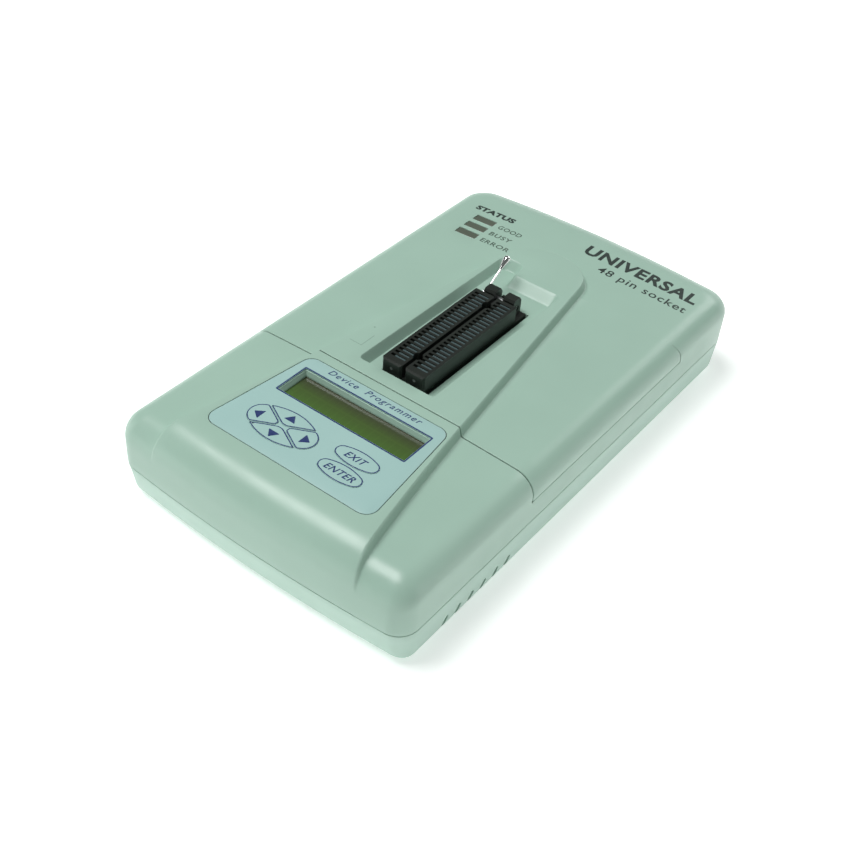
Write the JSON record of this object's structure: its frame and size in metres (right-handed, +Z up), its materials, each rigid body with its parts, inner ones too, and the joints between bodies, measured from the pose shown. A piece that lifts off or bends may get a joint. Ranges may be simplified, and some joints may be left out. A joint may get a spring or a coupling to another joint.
{
  "type": "desktop microcontroller programmer",
  "caption": "Low desktop chip programmer: tray, shell, socket deck, lever socket with sliding bars, display, key label, status lenses and rear connectors.",
  "frame": {"origin": "centre of the footprint, on the surface the feet stand on", "axes": "+X to the right seen from the keys, +Y from the keys towards the rear connectors, +Z up"},
  "size_m": [0.147, 0.2538, 0.0586],
  "materials": {
    "tray_plastic": "fine satin moulding",
    "case_plastic": "fine satin moulding",
    "panel_plastic": "satin",
    "foot_rubber": "matt rubber",
    "zinc_screw": "zinc plated",
    "label_film": "satin printed film",
    "key_film": "satin embossed film",
    "display_glass": "gloss",
    "black_metal": "satin black",
    "circuit_board": "solder mask",
    "chip_black": "moulded epoxy",
    "lens_plastic": "smoked lens",
    "led_clear": "clear epoxy",
    "socket_black": "glass filled, satin",
    "contact_metal": "tin plated",
    "pin_metal": "blackened steel",
    "lever_chrome": "nickel plated",
    "spacer_brass": "turned brass",
    "can_blue": "sleeved can",
    "sink_aluminium": "extruded",
    "plug_steel": "nickel plated",
    "tongue_white": "moulded",
    "inlet_black": "moulded",
    "rocker_black": "semi gloss"
  },
  "bodies": {
    "case": {"base_tray": "tray_plastic", "upper_shell": "case_plastic", "deck_cover": "case_plastic", "rear_panel": "panel_plastic", "rubber_feet": "foot_rubber", "case_screws": "zinc_screw", "key_label": "label_film", "display_glass": "display_glass", "display_frame": "black_metal", "display_board": "circuit_board", "key_board": "circuit_board", "key_switches": "chip_black", "display_screws": "zinc_screw", "lens_good": "lens_plastic", "lens_busy": "lens_plastic", "lens_error": "lens_plastic", "status_board": "circuit_board", "status_leds": "led_clear", "socket_base": "socket_black", "socket_contacts": "contact_metal", "socket_pins": "pin_metal", "socket_board": "circuit_board", "driver_chips": "chip_black", "board_header": "chip_black", "board_spacers": "spacer_brass", "main_board": "circuit_board", "logic_chips": "chip_black", "capacitors": "can_blue", "heat_sink": "sink_aluminium", "board_screws": "zinc_screw", "usb_shell": "plug_steel", "usb_tongue": "tongue_white", "power_inlet": "inlet_black", "inlet_pin": "contact_metal", "switch_frame": "inlet_black"},
    "lever": {"cam_shaft": "lever_chrome", "lever_wire": "lever_chrome", "lever_knob": "lever_chrome"},
    "bars": {"socket_slide": "socket_black", "socket_dimples": "contact_metal"},
    "up_key": {"key_up": "key_film"},
    "down_key": {"key_down": "key_film"},
    "left_key": {"key_left": "key_film"},
    "right_key": {"key_right": "key_film"},
    "exit_key": {"key_exit": "key_film"},
    "enter_key": {"key_enter": "key_film"},
    "rocker": {"switch_rocker": "rocker_black"}
  },
  "joints": [
    {"name": "lever_swing", "type": "hinge", "parent": "case", "child": "lever", "pos_m": [-0.0093, 0.0365, 0.0469], "axis": [1, 0, 0], "range_deg": [-33.6, 56.4]},
    {"name": "bars_shift", "type": "slide", "parent": "case", "child": "bars", "axis": [0, 1, 0], "range_m": [-0.0003, 0.0005]},
    {"name": "up_press", "type": "slide", "parent": "case", "child": "up_key", "axis": [0, 0, -1], "range_m": [0, 0.0004], "stiffness_N_per_m": 800},
    {"name": "down_press", "type": "slide", "parent": "case", "child": "down_key", "axis": [0, 0, -1], "range_m": [0, 0.0004], "stiffness_N_per_m": 800},
    {"name": "left_press", "type": "slide", "parent": "case", "child": "left_key", "axis": [0, 0, -1], "range_m": [0, 0.0004], "stiffness_N_per_m": 800},
    {"name": "right_press", "type": "slide", "parent": "case", "child": "right_key", "axis": [0, 0, -1], "range_m": [0, 0.0004], "stiffness_N_per_m": 800},
    {"name": "exit_press", "type": "slide", "parent": "case", "child": "exit_key", "axis": [0, 0, -1], "range_m": [0, 0.0004], "stiffness_N_per_m": 800},
    {"name": "enter_press", "type": "slide", "parent": "case", "child": "enter_key", "axis": [0, 0, -1], "range_m": [0, 0.0004], "stiffness_N_per_m": 800},
    {"name": "rocker_tilt", "type": "hinge", "parent": "case", "child": "rocker", "pos_m": [0.026, 0.1193, 0.02], "axis": [0, 0, 1], "range_deg": [0, 24]}
  ],
  "couplings": [
    {"joint": "lever_swing", "follows": "bars_shift", "rad_per_m": 1949.3}
  ]
}
